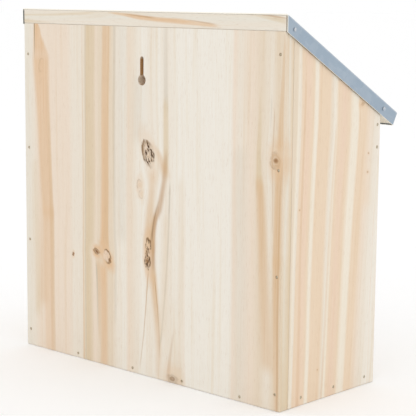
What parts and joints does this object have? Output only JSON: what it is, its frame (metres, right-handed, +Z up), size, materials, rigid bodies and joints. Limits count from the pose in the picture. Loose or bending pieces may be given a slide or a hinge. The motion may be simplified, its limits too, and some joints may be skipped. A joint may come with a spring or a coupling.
{
  "type": "birdhouse",
  "caption": "Wide pine nest box with a sloping sheet-metal roof, a swinging front with round entrances, and a keyhole in its back.",
  "frame": {"origin": "on the surface the box stands on, below the middle of its overall outline", "axes": "+Z up, -Y towards the front with the entrances, +Y towards the back with the keyhole, +X to the right of someone facing the front"},
  "size_m": [0.3056, 0.1424, 0.3033],
  "materials": {
    "pine_back": "planed bare pine, edge-glued staves with streaks and knots, matte",
    "pine_side": "planed bare pine with wide growth rings, matte",
    "pine_roof": "planed bare pine, grain across the box, matte",
    "pine_front": "planed bare pine, matte",
    "pine_inner": "planed bare pine, matte",
    "galvanised_sheet": "dull galvanised sheet, blue-grey, faint spangle",
    "zinc_hardware": "zinc plated, satin",
    "nail_steel": "bright brad, dulled"
  },
  "bodies": {
    "house": {"back_panel": "pine_back", "side_panel_left": "pine_side", "side_panel_right": "pine_side", "floor_board": "pine_inner", "roof_board": "pine_roof", "roof_sheet": "galvanised_sheet", "front_lintel": "pine_front", "centre_divider": "pine_inner", "back_nail_left_1": "nail_steel", "back_nail_left_2": "nail_steel", "back_nail_left_3": "nail_steel", "back_nail_left_4": "nail_steel", "floor_nail_left_1": "nail_steel", "floor_nail_left_2": "nail_steel", "floor_nail_left_3": "nail_steel", "lintel_nail_left": "nail_steel", "pivot_nail_left": "nail_steel", "roof_nail_left_1": "nail_steel", "roof_nail_left_2": "nail_steel", "sheet_nail_left_1": "zinc_hardware", "sheet_nail_left_2": "zinc_hardware", "back_nail_right_1": "nail_steel", "back_nail_right_2": "nail_steel", "back_nail_right_3": "nail_steel", "back_nail_right_4": "nail_steel", "floor_nail_right_1": "nail_steel", "floor_nail_right_2": "nail_steel", "floor_nail_right_3": "nail_steel", "lintel_nail_right": "nail_steel", "pivot_nail_right": "nail_steel", "roof_nail_right_1": "nail_steel", "roof_nail_right_2": "nail_steel", "sheet_nail_right_1": "zinc_hardware", "sheet_nail_right_2": "zinc_hardware", "back_floor_nail_1": "nail_steel", "back_floor_nail_2": "nail_steel", "back_floor_nail_3": "nail_steel", "back_floor_nail_4": "nail_steel", "divider_nail_1": "nail_steel", "divider_nail_2": "nail_steel", "divider_nail_front": "nail_steel", "sheet_nail_front_1": "zinc_hardware", "sheet_nail_front_2": "zinc_hardware", "sheet_nail_front_3": "zinc_hardware", "button_screw": "zinc_hardware"},
    "front_door": {"front_door": "pine_front"},
    "turn_button": {"turn_button": "zinc_hardware"}
  },
  "joints": [
    {"name": "door_swing", "type": "hinge", "parent": "house", "child": "front_door", "pos_m": [0, -0.04615, 0.19624], "axis": [-1, 0, 0], "range_deg": [0, 120]},
    {"name": "button_turn", "type": "hinge", "parent": "house", "child": "turn_button", "pos_m": [0, -0.04975, 0.005], "axis": [0, -1, 0], "range_deg": [0, 180]}
  ]
}
